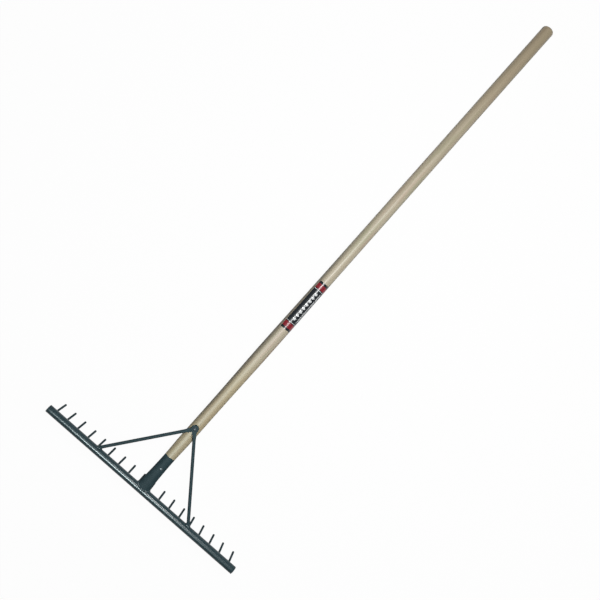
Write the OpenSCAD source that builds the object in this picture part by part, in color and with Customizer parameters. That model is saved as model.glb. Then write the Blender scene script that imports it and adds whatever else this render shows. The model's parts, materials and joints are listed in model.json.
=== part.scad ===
// Landscape rake: a tubular steel head with a row of straight round tines, two stays and a wooden handle.
// The rake lies as it rests on the ground: tine tips and the end of the handle touch z = 0,
// x runs along the head, y runs from the head towards the end of the handle.

/* [Head tube] */
// Length of the cross tube
head_length = 660; // [500:1:900]
// Outside diameter of the cross tube
tube_diameter = 22.2; // [20:0.1:26]
// Wall of the cross tube
tube_wall = 2; // [1.2:0.1:3]
// Wall of the pressed plugs that close the tube
plug_wall = 1.2; // [0.8:0.1:2]
// Depth of the skirt of those plugs
plug_depth = 7; // [4:0.5:14]
// How far the plugs sit inside the tube's ends
plug_recess = 0.6; // [0.2:0.1:3]

/* [Tines] */
// Number of tines
tine_count = 18; // [8:1:22]
// Distance from the tube's end to the first tine
tine_margin = 20.6; // [15:0.1:40]
// Diameter of a tine
tine_diameter = 6; // [4:0.1:7]
// Length of a tine outside the tube
tine_exposed = 63; // [40:0.5:110]
// Angle between the tines and the handle
tine_angle = 76; // [65:0.5:90]
// Rounding of the tine tips
tine_tip_round = 1.6; // [0.4:0.1:1.9]
// Leg of the weld round each tine
tine_weld_leg = 1.6; // [0.8:0.1:2]

/* [Socket] */
// Distance from the tube's axis to the mouth of the socket
socket_mouth = 117; // [90:1:150]
// Outside diameter of the socket at its mouth
socket_diameter = 31.4; // [30:0.1:38]
// Wall of the socket
socket_wall = 2.2; // [1.5:0.1:3]
// Width of the pressed oval foot of the socket
foot_width = 40; // [36:0.5:52]
// How far the foot's top and bottom stay inside the tube's round
foot_inset = 1.2; // [0.8:0.1:2]
// Leg of the weld between socket and tube
socket_weld_leg = 4; // [2:0.1:5]

/* [Handle] */
// Whole length of the handle, with the part inside the socket
handle_length = 1676; // [1200:1:2000]
// Room between the tube and the handle's end inside the socket
chuck_gap = 9; // [4:0.1:40]
// Diameter of the handle at the mouth of the socket
shoulder_diameter = 31.6; // [30:0.1:38]
// Length over which the shoulder widens into the neck
shoulder_taper = 60; // [30:1:80]
// Diameter of the neck
neck_diameter = 34.2; // [32:0.1:40]
// Length of the neck at its even diameter
neck_length = 115; // [90:1:200]
// Diameter at the thickest point of the swell
swell_diameter = 37.3; // [35:0.1:44]
// Length over which the neck widens into the swell
swell_rise = 220; // [100:1:300]
// Length over which the swell narrows into the grip
swell_fall = 290; // [100:1:400]
// Diameter of the straight grip
grip_diameter = 35; // [32:0.1:40]
// Rounding of the edge at the end of the handle
end_round = 7; // [3:0.5:15]
// Radius of the domed face at the end of the handle
end_dome = 45; // [30:1:120]

/* [Stays] */
// Diameter of the stay rods
stay_diameter = 9; // [6:0.1:10]
// Distance between the feet of the stays along the tube
stay_spread = 334; // [240:1:460]
// Distance from the tube's axis to the bolt that holds the stays
stay_reach = 219; // [195:1:260]
// Diameter of the flattened eyes
eye_diameter = 21; // [16:0.5:24]
// Thickness of the flattened eyes
eye_thickness = 4.4; // [3:0.1:6]
// Width of the flattened tab where it leaves the eye
tab_width = 11; // [8:0.5:14]
// Length of the flat tab beyond the eye
tab_length = 3; // [1:0.5:8]
// Length over which the flat tab turns into the round rod
tab_blend = 18; // [8:0.5:25]
// How far the rod's axis starts below the middle of its eye, which is pressed mostly from below
rod_drop = 1.2; // [0:0.1:1.4]
// Leg of the weld between a stay and the tube
stay_weld_leg = 3.5; // [1.5:0.1:4.5]

/* [Fasteners] */
// Diameter of the bolt through stays and handle
bolt_diameter = 6.4; // [5:0.1:8]
// Diameter of the bolt's domed head
bolt_head_diameter = 12; // [10:0.1:16]
// Height of the bolt's domed head
bolt_head_height = 3.8; // [2:0.1:5]
// Length of the bolt that stands out of the nut
bolt_tail = 2.5; // [0.5:0.1:10]
// Outside diameter of the washer under the handle
washer_diameter = 16; // [14:0.5:24]
// Thickness of the washer
washer_thickness = 1.4; // [0.8:0.1:3]
// Width of the nut across its flats
nut_flats = 11; // [10:0.1:15]
// Height of the nut
nut_height = 5.4; // [4:0.1:8]
// Diameter of the socket rivet
rivet_diameter = 5; // [3:0.1:6]
// Diameter of the rivet's heads
rivet_head_diameter = 8; // [7:0.1:11]
// Height of the rivet's heads
rivet_head_height = 2.2; // [1.5:0.1:4]
// Distance from the tube's axis to the rivet
rivet_at = 79; // [65:1:100]
// Turn of the rivet round the handle, to the right of the top
rivet_turn = 14; // [-30:1:30]

/* [Label band] */
// Distance from the mouth of the socket to the label
label_at = 460; // [130:1:600]
// Length of the label along the handle
label_length = 164; // [60:1:300]
// Thickness of the label film
label_thickness = 0.2; // [0.1:0.05:0.5]
// Gap between the label film and the handle
label_gap = 0.3; // [0.2:0.05:0.5]
// Where the label starts, measured from the top of the handle
label_turn = -42; // [-180:1:180]
// How far the label goes round the handle
label_sweep = 250; // [60:1:350]

/* [Fits] */
// Gap left between seated pieces
seat_gap = 0.05; // [0.02:0.01:0.3]
// Clearance on the diameter of drilled holes
hole_clearance = 0.2; // [0.1:0.05:0.5]
// Clearance between the handle's chuck and the socket, each side
chuck_clearance = 0.2; // [0.1:0.05:0.5]

/* [Hidden] */
$fn = 64;
// Facets of the round bars that thin welds are cut to, and of the slices that blends are stretched over
weld_facets = 256;
blend_facets = 32;
paint = [0.20, 0.26, 0.28];
paint_weld = [0.24, 0.30, 0.32];
bright_steel = [0.70, 0.71, 0.72];
dark_steel = [0.25, 0.26, 0.27];
ash_wood = [0.78, 0.71, 0.58];
label_black = [0.10, 0.10, 0.11];

tube_r = tube_diameter / 2;
bore_r = tube_r - tube_wall;
tine_r = tine_diameter / 2;
tine_pitch = (head_length - 2 * tine_margin) / (tine_count - 1);
tine_reach = tube_r + tine_exposed;
tine_lean = 90 - tine_angle;
// A tine passes the lower wall and stops just under the upper one
tine_seat = sqrt(bore_r * bore_r - tine_r * tine_r) - seat_gap;
tine_hole = tine_diameter + hole_clearance;
weld_ring_r = tine_r + tine_weld_leg;

socket_r = socket_diameter / 2;
foot_half_width = foot_width / 2;
foot_half_height = tube_r - foot_inset;
socket_sides = 48;
socket_rings = 10;

shoulder_r = shoulder_diameter / 2;
neck_r = neck_diameter / 2;
swell_r = swell_diameter / 2;
grip_r = grip_diameter / 2;
neck_from = shoulder_taper;
swell_from = neck_from + neck_length;
swell_peak = swell_from + swell_rise;
grip_from = swell_peak + swell_fall;
chuck_end = tube_r + chuck_gap;
chuck_depth = socket_mouth - chuck_end;
handle_tip = chuck_end + handle_length;
// The end's rounded edge and domed face run into each other
dome_half = asin((grip_r - end_round) / (end_dome - end_round));
dome_centre = handle_tip - end_dome;
edge_centre = dome_centre + (end_dome - end_round) * cos(dome_half);
chuck_steps = 8;
shoulder_steps = 5;
swell_steps = 10;
round_steps = 6;

stay_r = stay_diameter / 2;
eye_r = eye_diameter / 2;
washer_r = washer_diameter / 2;
bolt_hole = bolt_diameter + hole_clearance;
rivet_hole = rivet_diameter + hole_clearance;
weld_rings = 40;
// How deep the blend of a stay is rooted in its rod and in its tab, and how much slimmer it is there
blend_root = 0.8;
blend_shy = 0.2;
// How far a weld's crown stands out, as a share of its throat
weld_crown = 0.35;
// Least square of a distance that the approach to the socket's seam goes on with
seam_floor = 1;

// The rake rests on the rounded tine tips and the rounded end of the handle
tip_y = (tine_reach - tine_tip_round) * cos(tine_angle) - (tine_r - tine_tip_round) * sin(tine_angle);
tip_z = -(tine_reach - tine_tip_round) * sin(tine_angle) - (tine_r - tine_tip_round) * cos(tine_angle);
end_y = edge_centre;
end_z = end_round - grip_r;
rest_span = norm([end_y - tip_y, end_z - tip_z]);
lay_angle = atan2(end_z - tip_z, end_y - tip_y) - asin((end_round - tine_tip_round) / rest_span);
lay_lift = tip_y * sin(lay_angle) - tip_z * cos(lay_angle) + tine_tip_round;
lay_far = dome_centre * cos(lay_angle) + end_dome;
lay_back = (lay_far - tube_r) / 2;

// Smooth step from a to b as t goes from 0 to 1
function ease(a, b, t) = a + (b - a) * (1 - cos(180 * t)) / 2;

// Socket's outer half width and half height at a distance from the tube's axis
function foot_share(y) = pow(1 - y / socket_mouth, 2);
function socket_half_width(y) = socket_r + (foot_half_width - socket_r) * foot_share(y);
function socket_half_height(y) = socket_r + (foot_half_height - socket_r) * foot_share(y);

// Radius of the handle outside the socket at a distance from the socket's mouth
function shaft_r(s) =
    s < neck_from ? ease(shoulder_r, neck_r, s / shoulder_taper)
    : s < swell_from ? neck_r
    : s < swell_peak ? ease(neck_r, swell_r, (s - swell_from) / swell_rise)
    : s < grip_from ? ease(swell_r, grip_r, (s - swell_peak) / swell_fall)
    : grip_r;

// Radius of the chuck inside the socket, at a distance from the tube's axis
function chuck_r(y) = socket_half_height(y) - socket_wall - chuck_clearance;

// Points of a quarter round that turns from along x to along y, for a revolved profile
function rounding(centre, r, from, to, steps) =
    [for (k = [0 : steps]) let (a = from + (to - from) * k / steps) centre + r * [cos(a), sin(a)]];

// Points of a shallow dome of radius r and height h, from its rim to its top
function dome(r, h, base) =
    let (ball = (r * r + h * h) / (2 * h), half = asin(r / ball))
    [for (k = [0 : round_steps]) let (a = half * (1 - k / round_steps))
        [ball * sin(a), base + h - ball * (1 - cos(a))]];

// Place of a tine along the tube
function tine_x(i) = (i - (tine_count + 1) / 2) * tine_pitch;
function tine_name(i) = str("tine_", i < 10 ? "0" : "", i);

// Point on the tube's outside, just clear of its paint
function on_tube(x, angle) = [x, (tube_r + seat_gap) * cos(angle), (tube_r + seat_gap) * sin(angle)];

// Unit vector
function unit(v) = v / norm(v);

// Centre of a stay's eye: the left one lies on the handle, the right one on top of it
stack_base = shaft_r(stay_reach + eye_r - socket_mouth) + seat_gap;
function eye_z(level) = stack_base + eye_thickness / 2 + level * (eye_thickness + seat_gap);
stack_top = eye_z(1) + eye_thickness / 2 + seat_gap;
washer_top = -shaft_r(stay_reach + washer_r - socket_mouth) - seat_gap;
nut_top = washer_top - washer_thickness - seat_gap;

// Puts the rake, drawn with the tube's axis at the origin, down on the ground
module lay() {
    translate([0, -lay_back, lay_lift]) rotate([-lay_angle, 0, 0]) children();
}

// Turns a shape drawn along z so that it runs along the handle
module along_handle() {
    rotate([-90, 0, 0]) children();
}

// Places a shape drawn along z on the axis of one tine
module at_tine(i) {
    translate([tine_x(i), 0, 0]) rotate([tine_lean, 0, 0]) children();
}

// Solid round bar along the cross tube
module tube_bar(r, length) {
    rotate([0, 90, 0]) cylinder(r = r, h = length, center = true, $fn = weld_facets);
}

// Closed skin over rings that follow each other and join up again
module loop_skin(rings) {
    count = len(rings);
    sides = len(rings[0]);
    function at(k, j) = (k % count) * sides + j % sides;
    polyhedron(
        points = [for (ring = rings) each ring],
        faces = [for (k = [0 : count - 1], j = [0 : sides - 1])
            each [[at(k, j), at(k, j + 1), at(k + 1, j + 1)], [at(k, j), at(k + 1, j + 1), at(k + 1, j)]]]
    );
}

// Round bar from one point to another
module rod_between(p, q, d, facets = weld_facets) {
    v = q - p;
    translate(p)
        rotate([0, acos(v.z / norm(v)), atan2(v.y, v.x)])
            cylinder(d = d, h = norm(v), $fn = facets);
}

// Wooden handle: tapered chuck, shoulder, neck, swell, straight grip and rounded end
module handle() {
    chuck = [for (k = [0 : chuck_steps]) let (y = chuck_end + chuck_depth * k / chuck_steps)
        [chuck_r(y), y]];
    shoulder = [for (k = [0 : shoulder_steps]) let (s = shoulder_taper * k / shoulder_steps)
        [shaft_r(s), socket_mouth + seat_gap + s]];
    rise = [for (k = [0 : swell_steps]) let (s = swell_from + swell_rise * k / swell_steps)
        [shaft_r(s), socket_mouth + s]];
    fall = [for (k = [1 : swell_steps]) let (s = swell_peak + swell_fall * k / swell_steps)
        [shaft_r(s), socket_mouth + s]];
    edge = rounding([grip_r - end_round, edge_centre], end_round, 0, 90 - dome_half, round_steps);
    face = [for (k = [1 : round_steps - 1]) let (a = dome_half * (1 - k / round_steps))
        [end_dome * sin(a), dome_centre + end_dome * cos(a)]];
    step_in = [[chuck_r(socket_mouth), socket_mouth + seat_gap]];
    profile = concat([[0, chuck_end]], chuck, step_in, shoulder, rise, fall, edge, face, [[0, handle_tip]]);
    color(ash_wood) lay() difference() {
        along_handle() rotate_extrude() polygon(profile);
        translate([0, stay_reach, 0]) cylinder(d = bolt_hole, h = 2 * swell_diameter, center = true);
        rivet_bore();
    }
}

// Thin printed film wrapped part of the way round the handle
module label_band() {
    inner = [for (k = [0 : round_steps]) let (s = label_at + label_length * k / round_steps)
        [shaft_r(s) + label_gap, socket_mouth + s]];
    outer = [for (k = [round_steps : -1 : 0]) inner[k] + [label_thickness, 0]];
    color(label_black) lay() along_handle()
        rotate([0, 0, label_turn - 90]) rotate_extrude(angle = label_sweep) polygon(concat(inner, outer));
}

// Bore of the rivet through the socket and the chuck
module rivet_bore() {
    translate([0, rivet_at, 0]) rotate([0, rivet_turn, 0])
        cylinder(d = rivet_hole, h = 2 * socket_diameter, center = true);
}

// One ring of the socket's wall, set in from its outside
function socket_ring(y, inset) =
    [for (j = [0 : socket_sides - 1]) let (a = 360 * j / socket_sides)
        [(socket_half_width(y) - inset) * cos(a), y, (socket_half_height(y) - inset) * sin(a)]];

// Socket: round at its mouth, pressed oval at its foot and cut to the round of the tube
module socket() {
    stations = [for (k = [0 : socket_rings]) socket_mouth * k / socket_rings];
    outside = [for (y = stations) socket_ring(y, 0)];
    inside = [for (k = [socket_rings : -1 : 0]) socket_ring(stations[k], socket_wall)];
    color(paint) lay() difference() {
        loop_skin(concat(outside, inside));
        tube_bar(tube_r + seat_gap, 2 * foot_width);
        rivet_bore();
    }
}

// Distance of the socket's surface from the axis, along the rivet
function rivet_seat() =
    let (width = socket_half_width(rivet_at), height = socket_half_height(rivet_at))
    1 / norm([sin(rivet_turn) / width, cos(rivet_turn) / height]);

// Through rivet with a domed head on each side of the socket
module socket_rivet() {
    head_r = rivet_head_diameter / 2;
    seat = rivet_seat();
    saddle_gap = 2 * seat_gap;
    rim = sqrt(seat * seat - head_r * head_r);
    head = concat([[0, 0], [rivet_diameter / 2, 0], [rivet_diameter / 2, rim], [head_r, rim]],
        dome(head_r, rivet_head_height, seat));
    color(bright_steel) lay() translate([0, rivet_at, 0]) rotate([0, rivet_turn, 0]) {
        for (side = [0, 180]) rotate([0, side, 0]) difference() {
            rotate_extrude() polygon(head);
            difference() {
                rotate([90, 0, 0])
                    cylinder(r = seat + saddle_gap, h = 2 * rivet_head_diameter, center = true);
                cylinder(d = rivet_diameter, h = 2 * socket_diameter, center = true);
            }
        }
    }
}

// Cross tube, drilled through its lower wall for each tine
module head_tube() {
    color(paint) lay() difference() {
        tube_bar(tube_r, head_length);
        tube_bar(bore_r, head_length + 2 * tube_wall);
        for (i = [1 : tine_count])
            at_tine(i) translate([0, 0, -2 * tube_r]) cylinder(d = tine_hole, h = 2 * tube_r);
    }
}

// Pressed plug that closes one end of the tube, its flat face outwards
module end_cap(side) {
    skirt_r = bore_r - seat_gap;
    face = head_length / 2 - plug_recess;
    bend = 2 * plug_wall;
    outside = rounding([skirt_r - bend, face - bend], bend, 0, 90, round_steps);
    inside = rounding([skirt_r - bend, face - bend], bend - plug_wall, 90, 0, round_steps);
    profile = concat([[skirt_r, face - plug_depth]], outside, [[0, face], [0, face - plug_wall]], inside,
        [[skirt_r - plug_wall, face - plug_depth]]);
    color(paint) lay() rotate([0, 90 * side, 0]) rotate_extrude() polygon(profile);
}

// One straight round tine with a rounded tip
module tine(i) {
    tip_centre = [tine_r - tine_tip_round, tine_tip_round - tine_reach];
    tip = rounding(tip_centre, tine_tip_round, -90, 0, round_steps);
    profile = concat([[0, -tine_reach]], tip, [[tine_r, tine_seat], [0, tine_seat]]);
    color(paint) lay() at_tine(i) rotate_extrude() polygon(profile);
}

// Cone of weld round one tine, before the tube and the tine are taken out of it
module tine_weld_cone(i) {
    sunk = tube_r - sqrt(tube_r * tube_r - weld_ring_r * weld_ring_r) + tube_wall / 4;
    profile = [[0, sunk - tube_r], [weld_ring_r, sunk - tube_r], [weld_ring_r, -tube_r],
        [tine_hole / 2 + seat_gap, -tube_r - tine_weld_leg], [0, -tube_r - tine_weld_leg]];
    at_tine(i) rotate_extrude() polygon(profile);
}

// Fillet welds under the tube, one round each tine
module tine_welds() {
    color(paint_weld) lay() for (i = [1 : tine_count]) difference() {
        tine_weld_cone(i);
        translate([tine_x(i), 0, 0]) tube_bar(tube_r + seat_gap, 4 * weld_ring_r);
        at_tine(i) cylinder(d = tine_hole, h = 4 * tube_r, center = true);
    }
}

// Point that lies a distance away from the seam, outwards along the tube's surface
function along_tube(seam, out, distance) =
    let (angle = atan2(seam.z, seam.y), around = out.z * cos(angle) - out.y * sin(angle),
        move = distance * unit([out.x, around]))
    on_tube(seam.x + move.x, angle + move.y / tube_r * 180 / PI);

// Section of a fillet weld: seam, toe on the tube, crown and toe on the welded piece
function fillet_ring(seam, out, leg, piece_toe) =
    let (tube_toe = along_tube(seam, out, leg), middle = (tube_toe + piece_toe) / 2)
    [seam, along_tube(seam, out, leg / 2), tube_toe, middle + (middle - seam) * weld_crown, piece_toe];

// Where the socket's surface meets the tube, found by repeated approach
function seam_y(rise, y, passes) =
    passes == 0 ? y
    : let (tube_square = pow(tube_r + seat_gap, 2) - pow((socket_half_height(y) + seat_gap) * rise, 2))
        seam_y(rise, sqrt(max(seam_floor, tube_square)), passes - 1);

// Point on the socket's outside, just clear of its paint
function on_socket(y, a) =
    [(socket_half_width(y) + seat_gap) * cos(a), y, (socket_half_height(y) + seat_gap) * sin(a)];

// Fillet weld all round the foot of the socket
module socket_weld() {
    approach_passes = 6;
    rings = [for (j = [0 : socket_sides - 1])
        let (a = 360 * j / socket_sides, y = seam_y(sin(a), tube_r, approach_passes),
            out = unit([cos(a) / socket_half_width(y), 0, sin(a) / socket_half_height(y)]))
        fillet_ring(on_socket(y, a), out, socket_weld_leg, on_socket(y + socket_weld_leg, a))];
    weld_reach = foot_half_width + socket_weld_leg + weld_ring_r;
    color(paint_weld) lay() difference() {
        loop_skin(rings);
        for (i = [1 : tine_count]) if (abs(tine_x(i)) < weld_reach) tine_weld_cone(i);
    }
}

// Foot, eye centre and start of the round rod of one stay, side -1 left and 1 right
function stay_level(side) = side < 0 ? 0 : 1;
function stay_foot(side) = [side * stay_spread / 2, 0, 0];
function stay_eye(side) = [0, stay_reach, eye_z(stay_level(side))];
function stay_way(side) = unit([side * stay_spread / 2, -stay_reach, 0]);
function rod_start(side) =
    stay_eye(side) + stay_way(side) * (eye_r + tab_length + tab_blend) - [0, 0, rod_drop];

// Stay: round rod cut to the tube at its foot, flattened into a pierced eye at the handle
module stay(side) {
    eye = stay_eye(side);
    way = stay_way(side);
    start = rod_start(side);
    turn = atan2(way.y, way.x);
    tab_end = eye_r + tab_length;
    root = blend_root * unit(stay_foot(side) - start);
    // Where the tab's straight sides leave the round of the eye
    leave = atan2(tab_width / 2, tab_end) + acos(eye_r / norm([tab_end, tab_width / 2]));
    sides = [eye_r * [cos(leave), sin(leave)], [tab_end, tab_width / 2]];
    outline = [sides[0], sides[1], [sides[1].x, -sides[1].y], [sides[0].x, -sides[0].y]];
    color(paint) lay() difference() {
        union() {
            rod_between(start, stay_foot(side), stay_diameter);
            hull() {
                rod_between(start + root, start + 2 * root, stay_diameter - blend_shy, blend_facets);
                translate(eye) rotate([0, 0, turn]) translate([tab_end - blend_root, 0, 0])
                    cube([blend_root, tab_width - blend_shy, eye_thickness - blend_shy], center = true);
            }
            translate(eye) rotate([0, 0, turn]) {
                cylinder(d = eye_diameter, h = eye_thickness, center = true);
                linear_extrude(height = eye_thickness, center = true) polygon(outline);
            }
        }
        translate(eye) cylinder(d = bolt_hole, h = 2 * eye_thickness, center = true);
        translate([side * stay_spread / 2, 0, 0]) tube_bar(tube_r + seat_gap, 8 * stay_diameter);
    }
}

// Where a line along a stay, moved sideways, comes out of the tube
function leave_tube(p, v) =
    let (a = v.y * v.y + v.z * v.z, b = p.y * v.y + p.z * v.z,
        c = p.y * p.y + p.z * p.z - pow(tube_r + seat_gap, 2))
    p + v * (sqrt(b * b - a * c) - b) / a;

// Fillet weld round the foot of one stay
module stay_weld(side) {
    foot = stay_foot(side);
    way = unit(rod_start(side) - foot);
    across = unit(cross(way, [0, 0, 1]));
    up = cross(across, way);
    rings = [for (j = [0 : weld_rings - 1])
        let (a = 360 * j / weld_rings, out = cos(a) * across + sin(a) * up,
            seam = leave_tube(foot + (stay_r + seat_gap) * out, way))
        fillet_ring(seam, out, stay_weld_leg, seam + stay_weld_leg * way)];
    color(paint_weld) lay() loop_skin(rings);
}

// Bolt with a domed head that holds both eyes on the handle
module stay_bolt() {
    bolt_r = bolt_diameter / 2;
    foot = nut_top - nut_height - bolt_tail;
    bevel = bolt_diameter / 8;
    profile = concat([[0, foot], [bolt_r - bevel, foot], [bolt_r, foot + bevel], [bolt_r, stack_top]],
        dome(bolt_head_diameter / 2, bolt_head_height, stack_top));
    color(dark_steel) lay() translate([0, stay_reach, 0]) rotate_extrude() polygon(profile);
}

// Flat washer under the handle
module stay_washer() {
    color(bright_steel) lay() translate([0, stay_reach, washer_top - washer_thickness]) difference() {
        cylinder(d = washer_diameter, h = washer_thickness);
        translate([0, 0, -washer_thickness]) cylinder(d = bolt_hole, h = 3 * washer_thickness);
    }
}

// Hexagon nut under the washer
module stay_nut() {
    across_corners = nut_flats / cos(30);
    color(bright_steel) lay() translate([0, stay_reach, nut_top - nut_height]) difference() {
        cylinder(d = across_corners, h = nut_height, $fn = 6);
        translate([0, 0, -nut_height]) cylinder(d = bolt_hole, h = 3 * nut_height);
    }
}

handle();
label_band();
socket();
socket_rivet();
head_tube();
end_cap(-1);  // end_cap_left
end_cap(1);  // end_cap_right
for (i = [1 : tine_count]) tine(i);
tine_welds();
socket_weld();
stay(-1);  // stay_left
stay(1);  // stay_right
stay_weld(-1);  // stay_weld_left
stay_weld(1);  // stay_weld_right
stay_bolt();
stay_washer();
stay_nut();
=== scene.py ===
"""Looks of a landscape rake: enamelled steel head, stays, fasteners and a turned ash handle."""

import json
import math

import bmesh
import bpy
import numpy as np
from bpy.props import FloatProperty, FloatVectorProperty, IntProperty, PointerProperty
from mathutils import Matrix, Vector


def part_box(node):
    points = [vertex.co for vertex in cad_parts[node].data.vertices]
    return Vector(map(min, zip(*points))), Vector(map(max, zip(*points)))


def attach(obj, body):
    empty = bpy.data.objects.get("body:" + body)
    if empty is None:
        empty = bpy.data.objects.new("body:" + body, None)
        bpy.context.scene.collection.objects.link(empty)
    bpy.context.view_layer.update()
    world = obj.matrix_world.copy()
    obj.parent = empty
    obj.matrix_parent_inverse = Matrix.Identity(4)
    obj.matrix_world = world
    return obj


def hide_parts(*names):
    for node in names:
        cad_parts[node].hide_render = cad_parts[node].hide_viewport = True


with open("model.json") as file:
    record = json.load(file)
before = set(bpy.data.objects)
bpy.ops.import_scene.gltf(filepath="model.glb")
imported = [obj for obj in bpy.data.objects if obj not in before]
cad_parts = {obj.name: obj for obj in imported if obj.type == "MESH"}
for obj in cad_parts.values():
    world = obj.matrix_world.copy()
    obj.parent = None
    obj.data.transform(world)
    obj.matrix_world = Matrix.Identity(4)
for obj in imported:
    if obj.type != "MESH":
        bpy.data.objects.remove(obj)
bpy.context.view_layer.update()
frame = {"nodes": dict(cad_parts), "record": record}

bl_info = {
    "name": "Landscape Rake",
    "version": (1, 0, 0),
    "blender": (4, 5, 0),
    "location": "View3D > Sidebar > Rake",
    "description": "Builds the visible pieces and finishes of a landscape rake on its packed solids",
    "category": "Object",
}

FULL_TURN = 2 * math.pi
MM = 0.001

# The rake's own frame: x along the cross tube, y along the handle, z out of the rake's face

HEAD_WAY = Vector((1.0, 0.0, 0.0))
GRIP_MOUNT = frame["record"]["mounts"][0]
HANDLE_WAY = Vector(GRIP_MOUNT["axis"]).normalized()
FACE_UP = Vector((0.0, 0.0, 1.0))
TUBE_CENTRE = sum(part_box("head_tube"), Vector()) / 2

# LAY takes points from the rake's own frame to the ground's, and UNLAY takes them back
RAKE_AXES = Matrix((HEAD_WAY, HANDLE_WAY, HEAD_WAY.cross(HANDLE_WAY))).transposed()
LAY = Matrix.Translation(TUBE_CENTRE) @ RAKE_AXES.to_4x4()
UNLAY = LAY.inverted()


def rake_points(node):
    """Corners of a CAD node in the rake's own frame, one row each."""
    return np.array([UNLAY @ v.co for v in frame["nodes"][node].data.vertices])


def rake_box(node):
    """Lowest and highest corner of a CAD node in the rake's own frame."""
    points = rake_points(node)
    return Vector(points.min(0)), Vector(points.max(0))


TINE_NODES = sorted(n for n in frame["nodes"] if n.startswith("tine_") and n != "tine_welds")
TINE_XS = [sum(rake_box(n), Vector()).x / 2 for n in TINE_NODES]
TINE_LOW, TINE_HIGH = rake_box(TINE_NODES[0])
TUBE_HIGH = rake_box("head_tube")[1]
BOLT_LOW, BOLT_HIGH = rake_box("stay_bolt")
NUT_LOW, NUT_HIGH = rake_box("stay_nut")
WASHER_LOW, WASHER_HIGH = rake_box("stay_washer")
LABEL_LOW, LABEL_HIGH = rake_box("label_band")
TINE_R = (TINE_HIGH.x - TINE_LOW.x) / 2
TUBE_R = TUBE_HIGH.z
MOUTH = rake_box("socket")[1].y
BOLT_Y = (BOLT_LOW.y + BOLT_HIGH.y) / 2


def tine_line():
    """Way from the tube's axis to a tine's tip, and how far along it a tine starts and ends."""
    points = rake_points(TINE_NODES[0])
    tip = points[points[:, 2] < -TUBE_R].mean(0)
    way = Vector((0.0, tip[1], tip[2])).normalized()
    along = points @ np.array(way)
    return way, along.min(), along.max()


def handle_outline():
    """Distances along the handle and the radius there, read from the turned CAD solid."""
    points = rake_points("handle")
    along = np.round(points[:, 1], 5)
    radius = np.hypot(points[:, 0], points[:, 2])
    stations = np.unique(along)
    return stations, np.array([radius[along == s].max() for s in stations])


TINE_WAY, TINE_TOP, TINE_TIP = tine_line()
HANDLE_STATIONS, HANDLE_RADII = handle_outline()


def handle_radius(y):
    """Radius of the handle at a distance from the tube's axis."""
    return float(np.interp(y, HANDLE_STATIONS, HANDLE_RADII))


# Sizes and colours that a user can change


def maker(make, **limits):
    """A function that makes properties of one kind from a name, a description and a default."""

    def made(name, description, default):
        return make(name=name, description=description, default=default, **limits)

    return made


size = maker(FloatProperty, min=0.0, subtype="DISTANCE")
share = maker(FloatProperty, min=0.0, max=1.0, subtype="FACTOR")
turn = maker(FloatProperty, subtype="ANGLE")
watts = maker(FloatProperty, min=0.0, unit="POWER")
lens = maker(FloatProperty, min=1.0, unit="CAMERA")
seed = maker(IntProperty)
colour = maker(FloatVectorProperty, size=3, min=0.0, max=1.0, subtype="COLOR")
point = maker(FloatVectorProperty, size=3, subtype="XYZ")


class RakeHeadSizes(bpy.types.PropertyGroup):
    """Sizes of the steel head."""

    tube_wall: size("Tube wall", "Wall of the cross tube", 2.0 * MM)
    tube_lip: size("Tube lip", "Rounding of the tube's cut edges", 0.5 * MM)
    tine_tip: size("Tine tip", "Rounding of the tine tips", 1.6 * MM)
    tine_sway: turn("Tine sway", "Largest sideways lean of a tine", math.radians(1.0))
    tine_seed: seed("Tine seed", "Seed of the tines' lean", 29)
    socket_diameter: size("Socket diameter", "Outside of the socket at its mouth", 31.4 * MM)
    socket_wall: size("Socket wall", "Wall of the socket", 2.2 * MM)
    socket_lip: size("Socket lip", "Rounding of the socket's mouth", 0.8 * MM)
    foot_width: size("Foot width", "Width of the socket's pressed foot", 40.0 * MM)
    foot_height: size("Foot height", "Height of the socket's pressed foot", 19.8 * MM)
    stay_diameter: size("Stay diameter", "Diameter of the stay rods", 9.0 * MM)
    stay_spread: size("Stay spread", "Distance between the feet of the stays", 334.0 * MM)
    eye_diameter: size("Eye diameter", "Diameter of the flattened eyes", 21.0 * MM)
    eye_thickness: size("Eye thickness", "Thickness of the flattened eyes", 4.4 * MM)
    tab_width: size("Tab width", "Width of the flat where it leaves the eye", 11.0 * MM)
    tab_length: size("Tab length", "Length of the flat beyond the eye", 3.0 * MM)
    tab_blend: size("Tab blend", "Length over which the flat turns into the rod", 18.0 * MM)
    rod_drop: size("Rod drop", "How far the rod starts below the middle of its eye", 1.2 * MM)
    tine_weld: size("Tine weld", "Leg of the welds round the tines", 1.6 * MM)
    stay_weld: size("Stay weld", "Leg of the welds round the stays", 3.5 * MM)
    socket_weld: size("Socket weld", "Leg of the weld round the socket", 4.0 * MM)
    ripple_pitch: size("Ripple pitch", "Distance between the ripples of a weld", 1.7 * MM)
    ripple_depth: share("Ripple depth", "Depth of the ripples as a share of the bead", 0.09)
    spatter_size: size("Spatter size", "Largest radius of the weld spatter", 0.75 * MM)
    spatter_seed: seed("Spatter seed", "Seed of the weld spatter", 7)


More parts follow.
